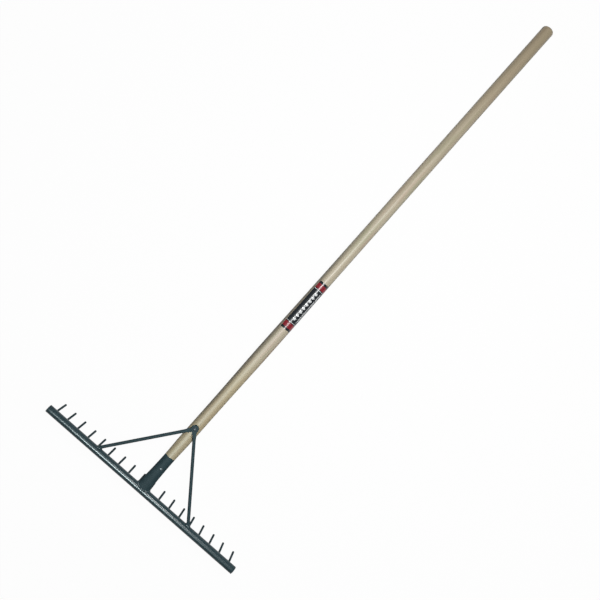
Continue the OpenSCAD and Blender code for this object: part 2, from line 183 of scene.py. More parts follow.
class RakeHandleSizes(bpy.types.PropertyGroup):
    """Sizes of the handle, its label and its fasteners."""

    end_round: size("End rounding", "Rounding of the edge at the handle's end", 7.0 * MM)
    end_dome: size("End dome", "Radius of the domed face at the handle's end", 45.0 * MM)
    label_thickness: size("Film thickness", "Thickness of the label film", 0.15 * MM)
    label_corner: size("Film corner", "Rounding of the film's corners", 3.0 * MM)
    label_from: turn("Film start", "Where the film starts, measured from the top", math.radians(-42.0))
    label_sweep: turn("Film sweep", "How far the film goes round the handle", math.radians(250.0))
    bolt_diameter: size("Bolt diameter", "Shank of the stay bolt", 6.4 * MM)
    bolt_head: size("Bolt head", "Height of the bolt's domed head", 3.8 * MM)
    thread_pitch: size("Thread pitch", "Pitch of the bolt's thread", 1.0 * MM)
    thread_depth: size("Thread depth", "Depth of the bolt's thread", 0.55 * MM)


class RakeColours(bpy.types.PropertyGroup):
    """Colours of the finishes."""

    enamel: colour("Enamel", "Enamel of the head", (0.032, 0.063, 0.073))
    enamel_pale: colour("Pale enamel", "Enamel where it lies thin", (0.043, 0.078, 0.090))
    primer: colour("Primer", "What shows where the enamel is rubbed", (0.10, 0.11, 0.11))
    ash: colour("Ash", "Pale wood between the rings", (0.57, 0.51, 0.385))
    ash_late: colour("Late wood", "Darker bands of the rings", (0.42, 0.355, 0.24))
    ash_rose: colour("Rose wood", "Pale wood with a rose cast", (0.54, 0.43, 0.32))
    ash_olive: colour("Olive wood", "Pale wood with an olive cast", (0.47, 0.455, 0.31))
    ash_honey: colour("Honey wood", "Warmer wood near the head", (0.55, 0.455, 0.245))
    # Partly painted shade: darkens the handle towards its end, along with the browner tone that hands
    # give the wood
    ash_held_and_shade: colour("Held wood", "Wood that hands have darkened, towards the end", (0.40, 0.32, 0.205))
    # Painted shade: this colour darkens one side of the handle near the head, standing in for light that
    # falls less there
    ash_side_shade: colour("Heart wood", "Darker wood along one side near the head", (0.19, 0.165, 0.12))
    ash_pore: colour("Pores", "Open pores of the wood", (0.24, 0.185, 0.11))
    film: colour("Film", "Ground of the label film", (0.010, 0.013, 0.017))
    film_red: colour("Red print", "Red of the label's bands", (0.27, 0.012, 0.022))
    film_white: colour("White print", "White of the label's marks", (0.74, 0.77, 0.77))
    zinc: colour("Zinc", "Plated rivet, washer and nut", (0.12, 0.135, 0.142))
    bolt: colour("Bolt", "Blackened stay bolt", (0.040, 0.060, 0.072))
    floor: colour("Floor", "Floor as the camera sees it", (0.86, 0.86, 0.86))
    floor_bounce: colour("Floor bounce", "Floor as it throws light back on the rake", (0.03, 0.03, 0.03))


class RakeStageSizes(bpy.types.PropertyGroup):
    """Camera, lamps and floor."""

    camera_place: point("Camera", "Place of the camera", (-0.0533, -0.2156, 2.0288))
    camera_aim: point("Aim", "Point that the camera looks at", (-0.0184, -0.1782, 0.04))
    camera_turn: turn("Turn", "Leftward turn of the picture's top from the handle", math.radians(41.637))
    camera_lens: lens("Lens", "Focal length of the camera", 43.5)
    key_lamp: point("Key lamp", "Lamp that lights the rake", (0.15, 0.14, 1.90))
    key_power: watts("Key power", "Power of the lamp that lights the rake", 32.0)
    key_length: size("Key length", "Length of that lamp along the handle", 1.00)
    key_width: size("Key width", "Width of that lamp", 0.26)
    shine_lamp: point("Shine lamp", "Lamp that only the gloss mirrors", (-0.10, -1.02, 1.90))
    shine_colour: colour("Shine colour", "Cool light of the mirrored lamp", (0.84, 0.99, 1.0))
    shine_power: watts("Shine power", "Power of the lamp that only the gloss mirrors", 70.0)
    shine_length: size("Shine length", "Length of that lamp along the head", 0.66)
    shine_width: size("Shine width", "Width of that lamp", 0.24)
    fill_level: share("Fill", "Level of the soft light from all round", 0.05)
    fill_lean: share("Fill lean", "How much more soft light comes from the right than from the left", 0.4)
    floor_span: size("Floor span", "Width of the floor", 12.0)


# Node trees written as expressions


def both_ways(operation):
    """A Math operator on values, and its reflected form."""

    def ahead(self, term):
        return self.graph.math(operation, self, term)

    def reflected(self, term):
        return self.graph.math(operation, term, self)

    return ahead, reflected


class Value:
    """One output of a node; operators on it add Math nodes to its tree."""

    __add__, __radd__ = both_ways("ADD")
    __sub__, __rsub__ = both_ways("SUBTRACT")
    __mul__, __rmul__ = both_ways("MULTIPLY")
    __truediv__, __rtruediv__ = both_ways("DIVIDE")
    __lt__, __gt__ = both_ways("LESS_THAN")

    def __init__(self, graph, socket):
        self.graph = graph
        self.socket = socket

    def __abs__(self):
        return self.graph.math("ABSOLUTE", self)

    def other(self, name):
        """Another output of the same node."""
        return Value(self.graph, self.socket.node.outputs[name])


class Graph:
    """A node tree that is filled node by node."""

    def __init__(self, tree):
        self.tree = tree

    def feed(self, socket, value):
        """Links or sets one input."""
        if isinstance(value, Value):
            self.tree.links.new(value.socket, socket)
        elif socket.type == "RGBA" and len(value) == 3:
            socket.default_value = (*value, 1.0)
        else:
            socket.default_value = value

    def node(self, kind, settings=None, values=None, out=0):
        """A new node with its settings and inputs; gives one of its outputs."""
        made = self.tree.nodes.new(kind)
        for name, setting in (settings or {}).items():
            setattr(made, name, setting)
        for key, value in (values or {}).items():
            self.feed(made.inputs[key], value)
        return Value(self, made.outputs[out]) if made.outputs else made

    def math(self, operation, *terms):
        """A Math node on numbers and values."""
        return self.node("ShaderNodeMath", {"operation": operation}, dict(enumerate(terms)))

    def ramp(self, value, low, high):
        """Smooth step from 0 at low to 1 at high."""
        limits = {"Value": value, 1: low, 2: high}
        return self.node("ShaderNodeMapRange", {"interpolation_type": "SMOOTHSTEP"}, limits)

    def blend(self, factor, first, second):
        """Colour that goes from first to second with the factor."""
        return self.node("ShaderNodeMix", {"data_type": "RGBA"}, {0: factor, 6: first, 7: second}, 2)

    def noise(self, place, scale, detail=2.0, rough=0.5):
        """Smooth noise from 0 to 1."""
        values = {"Vector": place, "Scale": scale, "Detail": detail, "Roughness": rough}
        return self.node("ShaderNodeTexNoise", None, values)

    def grain(self, place, scales, detail=2.0, rough=0.5):
        """Smooth noise with a scale of its own along each axis."""
        drawn = self.node("ShaderNodeVectorMath", {"operation": "MULTIPLY"}, {0: place, 1: scales})
        return self.noise(drawn, 1.0, detail, rough)

    def parts(self, place):
        """The three numbers of a vector."""
        split = self.node("ShaderNodeSeparateXYZ", None, {0: place})
        return split, split.other("Y"), split.other("Z")

    def object_place(self):
        """Place on the piece, in the ground's frame."""
        return self.node("ShaderNodeTexCoord", None, None, "Object")

    def rake_place(self):
        """Place on the piece, in the rake's own frame."""
        values = {
            "Vector": self.object_place(),
            "Location": UNLAY.translation,
            "Rotation": UNLAY.to_euler(),
        }
        return self.node("ShaderNodeMapping", {"vector_type": "POINT"}, values)

    def bump(self, height, strength, depth):
        """Normal that is tilted by a height."""
        values = {"Height": height, "Strength": strength, "Distance": depth}
        return self.node("ShaderNodeBump", None, values)


def finish(name, paint):
    """A material whose Principled shader takes the inputs that paint gives for its graph."""
    material = bpy.data.materials.new(name)
    material.use_nodes = True
    graph = Graph(material.node_tree)
    shader = material.node_tree.nodes["Principled BSDF"]
    for key, value in paint(graph).items():
        graph.feed(shader.inputs[key], value)
    return material


def enamel_finish(colours, name, roughness, gloss, coat_weight):
    """Enamel on steel: soft mottling, orange peel, and a rub at the tips of the tines."""
    mottle_scale = 60.0
    peel_scale = 620.0
    dust_scale = 1500.0
    scuff_scale = 900.0
    rub_span = (9 * MM, 1 * MM)

    def paint(graph):
        place = graph.object_place()
        height = graph.parts(place)[2]
        mottle = graph.noise(place, mottle_scale, 4.0, 0.6)
        peel = graph.noise(place, peel_scale)
        dust = graph.ramp(graph.noise(place, dust_scale, 1.0), 0.70, 0.80)
        scuff = graph.ramp(graph.noise(place, scuff_scale, 3.0, 0.7), 0.52, 0.62)
        rub = scuff * graph.ramp(height, *rub_span) * 0.7
        coat = graph.blend(graph.ramp(mottle, 0.35, 0.75), colours.enamel, colours.enamel_pale)
        return {
            "Base Color": graph.blend(rub, coat, colours.primer),
            "Roughness": roughness + mottle * 0.08 + rub * 0.25,
            "Specular IOR Level": gloss,
            "Coat Weight": coat_weight * (1 - rub),
            "Coat Roughness": 0.20,
            "Normal": graph.bump(peel + dust * 0.2, 0.03, 0.25 * MM),
        }

    return finish(name, paint)


ENAMELS = {
    "gloss_enamel": {"roughness": 0.27, "gloss": 0.17, "coat_weight": 0.18},
    "satin_enamel": {"roughness": 0.60, "gloss": 0.08, "coat_weight": 0.0},
}


def enamel(name):
    """One of the head's two enamels, made when a piece first asks for it."""
    colours = bpy.context.scene.rake_colours
    return bpy.data.materials.get(name) or enamel_finish(colours, name, **ENAMELS[name])


def ash_finish(colours):
    """Lacquered ash: growth rings cut lengthwise, fine open pores and slow changes of tone; painted shade
    along one side near the head, and an end darkened partly by hands and partly by painted shade.
    """
    ring_pitch = 3.1 * MM
    ring_wander = 15 * MM
    pith_x = 31 * MM
    pith_z = -24 * MM
    held_shade_span = (1.0, 1.66)
    honey_span = (0.52, 0.36)
    dull_span = (0.62, 0.46)
    # Where the painted shade lies: across the handle on its left side, and along it near the head
    shade_across = (-4 * MM, -17 * MM)
    shade_from = (0.12, 0.32)
    shade_to = (1.00, 0.72)

    def paint(graph):
        place = graph.rake_place()
        x, y, z = graph.parts(place)
        across = x - pith_x
        down = z - pith_z
        wander = graph.grain(place, (9.0, 1.6, 9.0), 3.0)
        ring = graph.math("SQRT", across * across + down * down) + wander * ring_wander
        phase = graph.math("FRACT", ring / ring_pitch)
        late = graph.ramp(phase, 0.45, 0.94) * graph.ramp(phase, 1.0, 0.95)
        early = graph.ramp(phase, 0.34, 0.02)
        fibre = graph.grain(place, (1500.0, 26.0, 1500.0), 2.0, 0.6)
        pores = graph.ramp(graph.grain(place, (2300.0, 70.0, 2300.0), 1.0), 0.60, 0.70)
        tone = graph.grain(place, (70.0, 6.0, 70.0), 3.0, 0.6)
        streak = graph.grain(place, (320.0, 4.0, 320.0))
        # Darker towards the handle's end: partly wear from hands, partly painted shade
        held_and_shade = graph.ramp(y, *held_shade_span) * 0.75
        honey = graph.ramp(y, *honey_span) * 0.65
        dull = graph.ramp(y, *dull_span)
        # Mask of the painted shade along one side of the handle near the head
        side_shade = graph.ramp(x, *shade_across) * graph.ramp(y, *shade_to) * graph.ramp(y, *shade_from)
        open_pores = pores * (0.25 + early * 0.75)
        pale = graph.blend(graph.ramp(tone, 0.50, 0.64) * 0.85, colours.ash, colours.ash_rose)
        cast = graph.blend(graph.ramp(tone, 0.48, 0.35) * 0.85, pale, colours.ash_olive)
        warm = graph.blend(honey, cast, colours.ash_honey)
        dark_share = late * 0.32 + fibre * 0.10 + graph.ramp(streak, 0.45, 0.75) * 0.40
        wood = graph.blend(dark_share, warm, colours.ash_late)
        held_and_shaded = graph.blend(held_and_shade, wood, colours.ash_held_and_shade)
        # Lays the painted side shade over the wood
        shaded_wood = graph.blend(side_shade * 0.9, held_and_shaded, colours.ash_side_shade)
        return {
            "Base Color": graph.blend(open_pores * 0.20, shaded_wood, colours.ash_pore),
            "Roughness": 0.38 + dull * 0.17 + fibre * 0.06 + open_pores * 0.10,
            "Specular IOR Level": 0.50,
            "Normal": graph.bump(fibre * 0.35 - open_pores, 0.04, 0.12 * MM),
        }

    return finish("lacquered_ash", paint)


def film_finish(colours, long, around):
    """Printed film: black ground, red bands near both ends, white lozenges and a rule between them."""
    band_inset = 7 * MM
    band_width = 15 * MM
    line_gap = 2.2 * MM
    line_width = 1.3 * MM
    field_inset = 32 * MM
    lozenge_count = 8
    lozenge_at = 17.5 * MM
    lozenge_half = 5.2 * MM
    lozenge_pitch = (long - 2 * field_inset) / lozenge_count
    rule_at = 28 * MM
    rule_width = 2.6 * MM
    rub_scale = 420.0
    crinkle_scale = 160.0

    def paint(graph):
        place = graph.object_place()
        u, v, _ = graph.parts(graph.node("ShaderNodeUVMap", {"uv_map": "film"}))
        along = u * long
        across = graph.math("MODULO", v * around, around / 2)
        from_end = graph.math("MINIMUM", along, long - along)

        def strip(value, start, width):
            return (value > start) * (value < start + width)

        band = strip(from_end, band_inset, band_width)
        line = strip(from_end, band_inset + band_width + line_gap, line_width)
        field = from_end > field_inset
        rule = strip(across, rule_at, rule_width) * field
        step = abs(graph.math("FRACT", (along - field_inset) / lozenge_pitch) - 0.5) * lozenge_pitch
        lozenge = (step + abs(across - lozenge_at) < lozenge_half) * field
        white = graph.math("MAXIMUM", graph.math("MAXIMUM", lozenge, rule), line)
        rub = graph.noise(place, rub_scale, 4.0, 0.7)
        red = graph.blend(band, colours.film, colours.film_red)
        worn_white = white * (1 - graph.ramp(rub, 0.62, 0.72) * 0.5)
        return {
            "Base Color": graph.blend(worn_white, red, colours.film_white),
            "Roughness": 0.25 + rub * 0.12,
            "Specular IOR Level": 0.5,
            "Coat Weight": 0.25 - rub * 0.08,
            "Coat Roughness": 0.14,
            "Normal": graph.bump(graph.noise(place, crinkle_scale), 0.05, 0.3 * MM),
        }

    return finish("printed_film", paint)


def zinc_finish(colours):
    """Zinc plate with a faint crystal pattern."""
    crystal_scale = 900.0
    haze_scale = 700.0
    pale = tuple(min(1.0, c * 1.18) for c in colours.zinc)

    def paint(graph):
        place = graph.object_place()
        crystal = graph.node("ShaderNodeTexVoronoi", None, {"Vector": place, "Scale": crystal_scale})
        haze = graph.noise(place, haze_scale, 3.0)
        return {
            "Base Color": graph.blend(crystal * 0.8 + haze * 0.3, pale, colours.zinc),
            "Metallic": 1.0,
            "Roughness": 0.46 + haze * 0.18,
            "Normal": graph.bump(haze, 0.08, 0.1 * MM),
        }

    return finish("zinc_plate", paint)


def bolt_finish(colours):
    """Blackened steel with a soft oily gloss."""
    haze_scale = 800.0
    pale = tuple(c * 1.9 for c in colours.bolt)

    def paint(graph):
        haze = graph.noise(graph.object_place(), haze_scale, 3.0)
        return {
            "Base Color": graph.blend(graph.ramp(haze, 0.35, 0.75), colours.bolt, pale),
            "Roughness": 0.42 + haze * 0.12,
            "Specular IOR Level": 0.38,
            "Normal": graph.bump(haze, 0.06, 0.1 * MM),
        }

    return finish("blackened_steel", paint)


# Meshes from rings and grids of points


def mesh_from(points, faces, edges=()):
    """A mesh over points in the rake's own frame."""
    mesh = bpy.data.meshes.new("shape")
    mesh.from_pydata([tuple(LAY @ Vector(p)) for p in points], edges, faces)
    return mesh


def tidy(mesh, crease=40.0):
    """Turns the faces outwards and shades them smooth, up to a crease angle in degrees."""
    work = bmesh.new()
    work.from_mesh(mesh)
    bmesh.ops.remove_doubles(work, verts=work.verts, dist=1e-7)
    bmesh.ops.recalc_face_normals(work, faces=work.faces)
    work.to_mesh(mesh)
    work.free()
    mesh.shade_smooth()
    mesh.set_sharp_from_angle(angle=math.radians(crease))
    return mesh


def solid(rings, wrap=False, crease=40.0):
    """Closed, smooth mesh over rings of points; open ends get a middle point, unless the rings wrap."""
    rings = np.asarray(rings, float)
    count, sides, _ = rings.shape
    points = list(rings.reshape(-1, 3))
    faces = []
    for k in range(count if wrap else count - 1):
        here = k * sides
        after = (k + 1) % count * sides
        for j in range(sides):
            beside = (j + 1) % sides
            faces.append((here + j, here + beside, after + beside, after + j))
    if not wrap:
        for k in (0, count - 1):
            middle = len(points)
            points.append(rings[k].mean(0))
            for j in range(sides):
                edge = (k * sides + j, k * sides + (j + 1) % sides)
                faces.append((middle, *edge) if k else (middle, *reversed(edge)))
    return tidy(mesh_from(points, faces), crease)


def grid_faces(rows, columns):
    """Faces of a grid whose points are counted row by row."""
    corners = [i * columns + j for i in range(rows - 1) for j in range(columns - 1)]
    return [(a, a + 1, a + columns + 1, a + columns) for a in corners]


def put(name, data):
    """A new object in the scene; its data takes the same name."""
    data.name = name
    made = bpy.data.objects.new(name, data)
    bpy.context.scene.collection.objects.link(made)
    return made


def dress(material, *pieces):
    """Gives objects a finish."""
    for piece in pieces:
        piece.data.materials.clear()
        piece.data.materials.append(material)


def place_piece(name, mesh, material, slot, *nodes):
    """Adds a finished piece to the scene, on the rake's body, in place of its CAD nodes."""
    piece = put(name, mesh)
    dress(material, piece)
    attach(piece, "root")
    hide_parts(*nodes)


def round_angles(count):
    """Even angles round a full turn."""
    return np.arange(count) * FULL_TURN / count


def circle(sides):
    """Points round a circle of radius 1, as pairs."""
    angles = round_angles(sides)
    return np.stack([np.cos(angles), np.sin(angles)], 1)


def arc(centre, radius, start, stop, steps):
    """Points of an arc, as pairs, with angles in degrees."""
    angles = np.radians(np.linspace(start, stop, steps + 1))
    return [(centre[0] + radius * math.cos(a), centre[1] + radius * math.sin(a)) for a in angles]


def lathe(profile, sides, axis, side, centre=(0, 0, 0)):
    """Rings turned round an axis; the profile gives pairs of radius and distance along it."""
    axis = np.array(axis, float)
    side = np.array(side, float)
    ring = circle(sides)
    spokes = ring[:, :1] * side + ring[:, 1:] * np.cross(axis, side)
    return [np.array(centre) + spokes * r + axis * h for r, h in profile]


# Geometry Nodes for the row of tines, the weld beads and the spatter


def node_tree(name, sockets):
    """An empty geometry tree with a mesh and the named inputs; gives its graph and the inputs."""
    tree = bpy.data.node_groups.new(name, "GeometryNodeTree")
    tree.interface.new_socket("Mesh", in_out="OUTPUT", socket_type="NodeSocketGeometry")
    for label, kind in {"Mesh": "Geometry", **sockets}.items():
        tree.interface.new_socket(label, in_out="INPUT", socket_type="NodeSocket" + kind)
    graph = Graph(tree)
    entry = graph.node("NodeGroupInput")
    return graph, {s.name: Value(graph, s) for s in entry.socket.node.outputs if s.name}


def close_tree(graph, shape):
    """Ends a geometry tree in plain, smooth geometry."""
    plain = graph.node("GeometryNodeRealizeInstances", None, {"Geometry": shape})
    smooth = graph.node("GeometryNodeSetShadeSmooth", None, {"Geometry": plain})
    graph.node("NodeGroupOutput", None, {0: smooth})
    return graph.tree


def grow(mesh, tree, values):
    """Runs a geometry tree on a mesh and gives the result as a plain mesh in its place."""
    grower = put("grower", mesh)
    modifier = grower.modifiers.new("grow", "NODES")
    modifier.node_group = tree
    for socket in tree.interface.items_tree:
        if socket.in_out == "INPUT" and socket.name in values:
            modifier[socket.identifier] = values[socket.name]
    shaped = grower.evaluated_get(bpy.context.evaluated_depsgraph_get())
    grown = bpy.data.meshes.new_from_object(shaped)
    bpy.data.objects.remove(grower)
    bpy.data.meshes.remove(mesh)
    return grown


def tine_row_tree():
    """Repeats a tine along the tube, each one swayed a little about its root."""
    sockets = {"Count": "Int", "Start": "Vector", "Step": "Vector", "Sway": "Float", "Seed": "Int"}
    graph, given = node_tree("tine_row", sockets)
    line = {"Count": given["Count"], "Start Location": given["Start"], "Offset": given["Step"]}
    points = graph.node("GeometryNodeMeshLine", None, line)
    random = {2: 0 - given["Sway"], 3: given["Sway"], "Seed": given["Seed"]}
    lean = graph.node("FunctionNodeRandomValue", None, random, 1)
    sway = graph.node("ShaderNodeCombineXYZ", None, {"Y": lean})
    copies = {"Points": points, "Instance": given["Mesh"], "Rotation": sway}
    return close_tree(graph, graph.node("GeometryNodeInstanceOnPoints", None, copies))


def weld_bead_tree():
    """Lays a rippled bead along closed runs of edges."""
    sides = 32
    steps_per_ripple = 9
    wander_scale = 260.0
    graph, given = node_tree("weld_bead", {"Ripple Pitch": "Float", "Ripple Depth": "Float"})
    pitch = given["Ripple Pitch"]
    seam = graph.node("GeometryNodeMeshToCurve", None, {"Mesh": given["Mesh"]})
    steps = {"Curve": seam, "Length": pitch / steps_per_ripple}
    run = graph.node("GeometryNodeResampleCurve", {"mode": "LENGTH"}, steps)
    length = graph.node("GeometryNodeSplineParameter", None, None, "Length")
    wander = graph.noise(graph.node("GeometryNodeInputPosition"), wander_scale)
    ripple = graph.math("SINE", graph.math("FRACT", length / pitch + wander * 1.3) * math.pi)
    radius = graph.node("GeometryNodeInputNamedAttribute", {"data_type": "FLOAT"}, {"Name": "bead"})
    scale = radius * (1 + (ripple - 0.6 + wander - 0.5) * given["Ripple Depth"])
    section = graph.node("GeometryNodeCurvePrimitiveCircle", None, {"Resolution": sides, "Radius": 1.0})
    sweep = {"Curve": run, "Profile Curve": section, "Scale": scale}
    return close_tree(graph, graph.node("GeometryNodeCurveToMesh", None, sweep))


def spatter_tree():
    """Scatters small flattened drops over a patch of surface."""
    smallest = 0.3
    flattening = 0.6
    graph, given = node_tree("weld_spatter", {"Size": "Float", "Density": "Float", "Seed": "Int"})
    scatter = {"Mesh": given["Mesh"], "Density": given["Density"], "Seed": given["Seed"]}
    points = graph.node("GeometryNodeDistributePointsOnFaces", None, scatter)
    drop = graph.node("GeometryNodeMeshIcoSphere", None, {"Radius": 1.0, "Subdivisions": 3})
    random = {2: given["Size"] * smallest, 3: given["Size"], "Seed": given["Seed"]}
    radius = graph.node("FunctionNodeRandomValue", None, random, 1)
    squat = graph.node("ShaderNodeCombineXYZ", None, {0: radius, 1: radius, 2: radius * flattening})
    copies = {"Points": points, "Instance": drop, "Rotation": points.other("Rotation"), "Scale": squat}
    return close_tree(graph, graph.node("GeometryNodeInstanceOnPoints", None, copies))


# Seams where pieces are welded to the tube, in the rake's own frame


def socket_halves(sizes, y, inset=0.0):
    """Half width and half height of the socket, which is pressed flat towards the tube's axis."""
    radius = sizes.socket_diameter / 2
    press = (1 - y / MOUTH) ** 2
    width = radius + (sizes.foot_width / 2 - radius) * press
    height = radius + (sizes.foot_height / 2 - radius) * press
    return width - inset, height - inset


def socket_seam(sizes, angle, inset=0.0):
    """Distance from the tube's axis at which the socket meets the tube, found by repeated approach."""
    approaches = 8
    y = TUBE_R
    for _ in range(approaches):
        rise = socket_halves(sizes, y, inset)[1] * math.sin(angle)
        y = math.sqrt(max(1e-6, TUBE_R**2 - rise**2))
    return y


def socket_point(sizes, y, angle, inset=0.0):
    """Point on the socket's surface."""
    width, height = socket_halves(sizes, y, inset)
    return np.array((width * math.cos(angle), y, height * math.sin(angle)))


def stay_rod(sizes, side):
    """Eye's middle, foot, level way from one to the other and start of the rod; side is -1 or 1."""
    points = rake_points("stay_left" if side < 0 else "stay_right")
    levels = points[np.hypot(points[:, 0], points[:, 1] - BOLT_Y) < sizes.eye_diameter / 2, 2]
    eye = Vector((0.0, BOLT_Y, (levels.min() + levels.max()) / 2))
    foot = Vector((side * sizes.stay_spread / 2, 0.0, 0.0))
    flat = Vector((foot.x - eye.x, foot.y - eye.y, 0.0)).normalized()
    start = eye + flat * (sizes.eye_diameter / 2 + sizes.tab_length + sizes.tab_blend)
    start.z -= sizes.rod_drop
    return eye, foot, flat, start


def leave_tube(inside, way):
    """Where a line that starts inside the tube comes out of it."""
    a = way.y**2 + way.z**2
    b = inside.y * way.y + inside.z * way.z
    c = inside.y**2 + inside.z**2 - TUBE_R**2
    return inside + way * ((math.sqrt(b * b - a * c) - b) / a)


def bead_point(seam, out, leg, piece_toe):
    """Middle and radius of a round bead that fills the corner between the tube and a welded piece."""
    crown = 0.2
    fattest = 1.2 * leg
    seam = Vector(seam)
    angle = math.atan2(seam.z, seam.y)
    around = out.z * math.cos(angle) - out.y * math.sin(angle)
    move = Vector((out.x, around)).normalized() * leg
    angle += move.y / TUBE_R
    tube_toe = Vector((seam.x + move.x, TUBE_R * math.cos(angle), TUBE_R * math.sin(angle)))
    middle = (tube_toe + Vector(piece_toe)) / 2
    rise = (middle - seam).length * crown
    chord = (tube_toe - Vector(piece_toe)).length
    radius = min((chord**2 / 4 + rise**2) / (2 * rise), fattest)
    return middle + (middle - seam).normalized() * (rise - radius), radius


def bead_mesh(runs):
    """Closed runs of edges through lists of points, each with the bead's radius there."""
    points = []
    edges = []
    radii = []
    for run in runs:
        first = len(points)
        points += [middle for middle, _ in run]
        radii += [radius for _, radius in run]
        edges += [(first + k, first + (k + 1) % len(run)) for k in range(len(run))]
    mesh = mesh_from(points, [], edges)
    mesh.attributes.new("bead", "FLOAT", "POINT").data.foreach_set("value", radii)
    return mesh


def socket_bead(sizes):
    """Run of the bead round the socket's foot."""
    count = 72
    leg = sizes.socket_weld
    run = []
    for angle in round_angles(count):
        y = socket_seam(sizes, angle)
        width, height = socket_halves(sizes, y)
        out = Vector((math.cos(angle) / width, 0.0, math.sin(angle) / height)).normalized()
        seam = socket_point(sizes, y, angle)
        run.append(bead_point(seam, out, leg, socket_point(sizes, y + leg, angle)))
    return run


def rod_bead(root, way, across, radius, leg, count):
    """Run of the bead round a rod that leaves the tube from a root inside it."""
    up = across.cross(way)
    run = []
    for angle in round_angles(count):
        out = across * math.cos(angle) + up * math.sin(angle)
        seam = leave_tube(root + out * radius, way)
        run.append(bead_point(seam, out, leg, seam + way * leg))
    return run


def stay_bead(sizes, side):
    """Run of the bead round a stay's foot."""
    _, foot, _, start = stay_rod(sizes, side)
    way = (start - foot).normalized()
    across = way.cross(FACE_UP).normalized()
    return rod_bead(foot, way, across, sizes.stay_diameter / 2, sizes.stay_weld, count=48)


def tine_bead(sizes, x):
    """Run of the bead round a tine."""
    return rod_bead(HEAD_WAY * x, TINE_WAY, HEAD_WAY, TINE_R, sizes.tine_weld, count=36)


# Operators, one for each piece or group of like pieces


class RAKE_OT_handle(bpy.types.Operator):
    """Turn the ash handle from its chuck to its rounded end"""

    bl_idname = "rake.handle"
    bl_label = "Handle"

    def execute(self, context):
        sizes = context.scene.rake_handle
        sides = 96
        station = 6 * MM
        last_angle = 89
        grip = GRIP_MOUNT["dims"]["r_mm"] * MM
        dome = sizes.end_dome - sizes.end_round
        dome_half = math.asin((grip - sizes.end_round) / dome)
        dome_centre = HANDLE_STATIONS[-1] - sizes.end_dome
        straight = dome_centre + dome * math.cos(dome_half)
        edge_turn = 90 - math.degrees(dome_half)
        chuck = [y for y in HANDLE_STATIONS if y < MOUTH + station]
        even = np.arange(MOUTH + station, straight, station)
        profile = [(handle_radius(y), y) for y in (*chuck, *even)]
        profile += arc((grip - sizes.end_round, straight), sizes.end_round, 0, edge_turn, steps=12)
        profile += arc((0.0, dome_centre), sizes.end_dome, edge_turn, last_angle, steps=8)[1:]
        mesh = solid(lathe(profile, sides, (0, 1, 0), (1, 0, 0)))
        place_piece("ash_handle", mesh, ash_finish(context.scene.rake_colours), "ash_wood", "handle")
        return {"FINISHED"}


class RAKE_OT_label(bpy.types.Operator):
    """Wrap the printed film round the handle"""

    bl_idname = "rake.label"
    bl_label = "Label Film"

    def execute(self, context):
        sizes = context.scene.rake_handle
        rows = 97
        columns = 25
        lift = 0.08 * MM
        long = LABEL_HIGH.y - LABEL_LOW.y
        around = sizes.label_sweep * handle_radius((LABEL_LOW.y + LABEL_HIGH.y) / 2)
        skins = []
        uvs = []
        for offset in (lift + sizes.label_thickness, lift):
            for turned in np.linspace(0, 1, rows):
                edge = min(turned, 1 - turned) * around
                short = max(0.0, sizes.label_corner - edge)
                cut = sizes.label_corner - math.sqrt(sizes.label_corner**2 - short**2)
                angle = sizes.label_from + turned * sizes.label_sweep
                for s in np.linspace(cut, long - cut, columns):
                    radius = handle_radius(LABEL_LOW.y + s) + offset
                    skins.append((radius * math.sin(angle), LABEL_LOW.y + s, radius * math.cos(angle)))
                    uvs.append((s / long, turned))
        half = rows * columns
        faces = []
        for face in grid_faces(rows, columns):
            faces += [face, tuple(half + k for k in reversed(face))]
        top = list(range(columns))
        bottom = [(rows - 1) * columns + j for j in reversed(range(columns))]
        right = [i * columns + columns - 1 for i in range(1, rows - 1)]
        left = [i * columns for i in reversed(range(1, rows - 1))]
        rim = top + right + bottom + left
        for here, after in zip(rim, rim[1:] + rim[:1]):
            faces.append((here, half + here, half + after, after))
        mesh = mesh_from(skins, faces)
        layer = mesh.uv_layers.new(name="film")
        for loop in mesh.loops:
            layer.data[loop.index].uv = uvs[loop.vertex_index]
        material = film_finish(context.scene.rake_colours, long, around)
        place_piece("label_film", tidy(mesh), material, "label_film", "label_band")
        return {"FINISHED"}


class RAKE_OT_cross_tube(bpy.types.Operator):
    """Draw the cross tube with its rounded cut edges and paint its plugs"""

    bl_idname = "rake.cross_tube"
    bl_label = "Cross Tube"

    def execute(self, context):
        sizes = context.scene.rake_head
        sides = 96
        stations = 61
        lip = sizes.tube_lip
        bore = TUBE_R - sizes.tube_wall
        end = TUBE_HIGH.x
        rim = arc((TUBE_R - lip, end - lip), lip, 0, 90, steps=4)
        rim += arc((bore + lip, end - lip), lip, 90, 180, steps=4)
        outside = [(TUBE_R, x) for x in np.linspace(-end + lip, end - lip, stations)[1:-1]]
        profile = outside + rim + [(r, -x) for r, x in reversed(rim)]
        mesh = solid(lathe(profile, sides, (1, 0, 0), (0, 1, 0)), wrap=True)
        gloss = enamel("gloss_enamel")
        place_piece("cross_tube", mesh, gloss, "head_enamel", "head_tube")
        dress(gloss, frame["nodes"]["end_cap_left"], frame["nodes"]["end_cap_right"])
        return {"FINISHED"}


